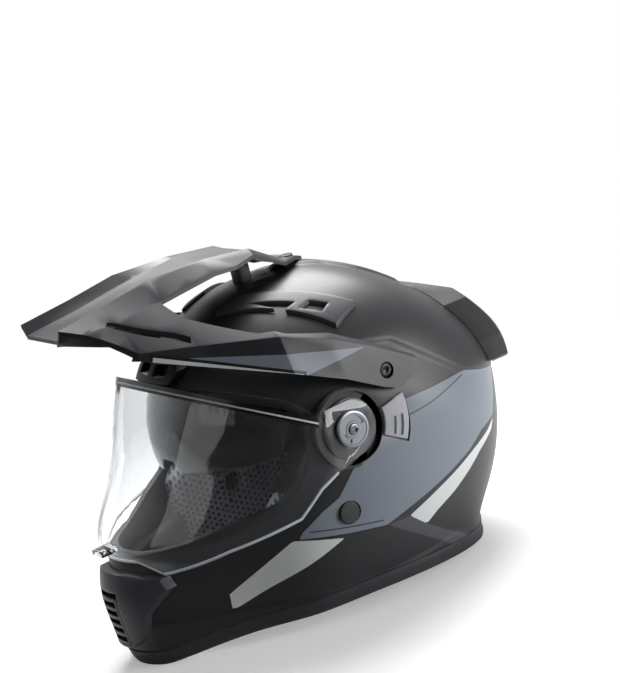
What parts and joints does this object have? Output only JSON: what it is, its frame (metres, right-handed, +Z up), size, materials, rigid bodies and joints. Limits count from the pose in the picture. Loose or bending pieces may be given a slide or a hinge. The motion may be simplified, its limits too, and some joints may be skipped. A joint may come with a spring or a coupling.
{
  "type": "dual sport helmet",
  "caption": "Full-face dual sport helmet with a fixed peak, hinged clear shield, lever-driven inner sun visor, vents, foam and padded liner and a buckled chin strap.",
  "frame": {"origin": "centre of the bounding box in plan, on the plane that the bottom edge stands on", "axes": "+X to the wearer's left, -Y to the front, +Z up"},
  "size_m": [0.2474, 0.3802, 0.2859],
  "materials": {
    "shell": "satin moulded shell",
    "trim": "satin rubber",
    "seal": "soft rubber",
    "graphite": "matte graphite",
    "black": "textured black",
    "clear": "clear polycarbonate",
    "smoke": "smoked polycarbonate",
    "silver": "satin",
    "steel": "dark steel",
    "foam": "dark expanded foam",
    "pad": "brushed fabric",
    "strap": "woven webbing",
    "red": "red ribbon"
  },
  "bodies": {
    "helmet": {"shell": "shell", "base_trim": "trim", "eyeport_seal": "seal", "shield_base_plate_left": "black", "shield_base_plate_right": "black", "shield_cap_left": "silver", "shield_cap_right": "silver", "shield_cap_screws": "steel", "sun_visor_pins": "black", "foam_liner": "foam", "chin_foam": "foam", "cheek_pad_left": "pad", "cheek_pad_right": "pad", "crown_pad": "pad", "neck_roll": "pad", "chin_strap_left": "strap", "chin_strap_right": "strap", "strap_anchors": "steel", "buckle_body": "black", "buckle_tongue": "black", "peak": "graphite", "peak_mounts": "black", "peak_side_screws": "steel", "peak_top_screw": "steel", "chin_cover": "graphite", "chin_grille": "black", "brow_vent": "black", "roof_vent_left": "graphite", "roof_vent_right": "graphite", "rear_exhaust_cover": "graphite", "side_plug_left": "black", "side_plug_right": "black"},
    "shield": {"face_shield": "clear"},
    "sun_visor": {"sun_visor": "smoke"},
    "visor_lever": {"sun_visor_lever": "black"},
    "chin_slider": {"chin_vent_slider": "black"},
    "buckle_lever": {"buckle_lever": "black", "buckle_pull_tab": "red"}
  },
  "joints": [
    {"name": "shield_hinge", "type": "hinge", "parent": "helmet", "child": "shield", "pos_m": [0, -0.014, 0.145], "axis": [-1, 0, 0], "range_deg": [0, 50]},
    {"name": "visor_lever_hinge", "type": "hinge", "parent": "helmet", "child": "visor_lever", "pos_m": [0, -0.014, 0.145], "axis": [1, 0, 0], "range_deg": [0, 14]},
    {"name": "sun_visor_hinge", "type": "hinge", "parent": "helmet", "child": "sun_visor", "pos_m": [0, -0.014, 0.145], "axis": [-1, 0, 0], "range_deg": [0, 45]},
    {"name": "chin_vent_slide", "type": "slide", "parent": "helmet", "child": "chin_slider", "axis": [0, 0, 1], "range_m": [0, 0.006]},
    {"name": "buckle_lever_hinge", "type": "hinge", "parent": "helmet", "child": "buckle_lever", "pos_m": [-0.026, -0.031, 0.01395], "axis": [0, 1, 0], "range_deg": [0, 30]}
  ],
  "couplings": [
    {"joint": "sun_visor_hinge", "follows": "visor_lever_hinge", "ratio": 3.2142}
  ]
}
